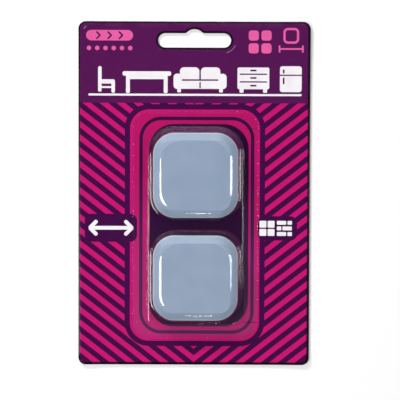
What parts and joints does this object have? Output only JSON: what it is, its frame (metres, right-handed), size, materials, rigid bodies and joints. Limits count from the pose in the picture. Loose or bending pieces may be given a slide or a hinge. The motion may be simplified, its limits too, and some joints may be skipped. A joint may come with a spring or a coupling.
{
  "type": "furniture slider set",
  "caption": "Carded retail pack of square self-adhesive furniture sliders, stacked in the pockets of a clear blister that peels up from a printed hang card.",
  "frame": {"origin": "middle of the back of the board, on the surface that the pack lies on", "axes": "+X across the board to the right seen from the front, +Y up the board towards the hang slot, +Z out of the printed face"},
  "size_m": [0.124, 0.184, 0.0138],
  "materials": {
    "printed_board": "coated board printed in magenta and purple, bare on the back",
    "clear_film": "clear thermoformed film, glossy",
    "glide_plastic": "smooth satin grey-blue low-friction plastic",
    "cushion_foam": "closed-cell rubbery cushion, matt",
    "mounting_glue": "clear double-sided adhesive sheet",
    "liner_paper": "waxed white release paper"
  },
  "bodies": {
    "card": {"backing_card": "printed_board"},
    "blister": {"blister_shell": "clear_film"},
    "upper_front_slider": {"upper_front_glide": "glide_plastic", "upper_front_cushion": "cushion_foam", "upper_front_adhesive": "mounting_glue", "upper_front_liner": "liner_paper"},
    "upper_rear_slider": {"upper_rear_glide": "glide_plastic", "upper_rear_cushion": "cushion_foam", "upper_rear_adhesive": "mounting_glue", "upper_rear_liner": "liner_paper"},
    "lower_front_slider": {"lower_front_glide": "glide_plastic", "lower_front_cushion": "cushion_foam", "lower_front_adhesive": "mounting_glue", "lower_front_liner": "liner_paper"},
    "lower_rear_slider": {"lower_rear_glide": "glide_plastic", "lower_rear_cushion": "cushion_foam", "lower_rear_adhesive": "mounting_glue", "lower_rear_liner": "liner_paper"}
  },
  "joints": [
    {"name": "blister_peel", "type": "hinge", "parent": "card", "child": "blister", "pos_m": [0.0008, 0.0438, 0.001], "axis": [-1, 0, 0], "range_deg": [0, 110]},
    {"name": "upper_front_play", "type": "slide", "parent": "card", "child": "upper_front_slider", "axis": [0, 1, 0], "range_m": [0, 0.0004]},
    {"name": "upper_rear_play", "type": "slide", "parent": "card", "child": "upper_rear_slider", "axis": [0, 1, 0], "range_m": [0, 0.0004]},
    {"name": "lower_front_play", "type": "slide", "parent": "card", "child": "lower_front_slider", "axis": [0, 1, 0], "range_m": [0, 0.0004]},
    {"name": "lower_rear_play", "type": "slide", "parent": "card", "child": "lower_rear_slider", "axis": [0, 1, 0], "range_m": [0, 0.0004]}
  ]
}
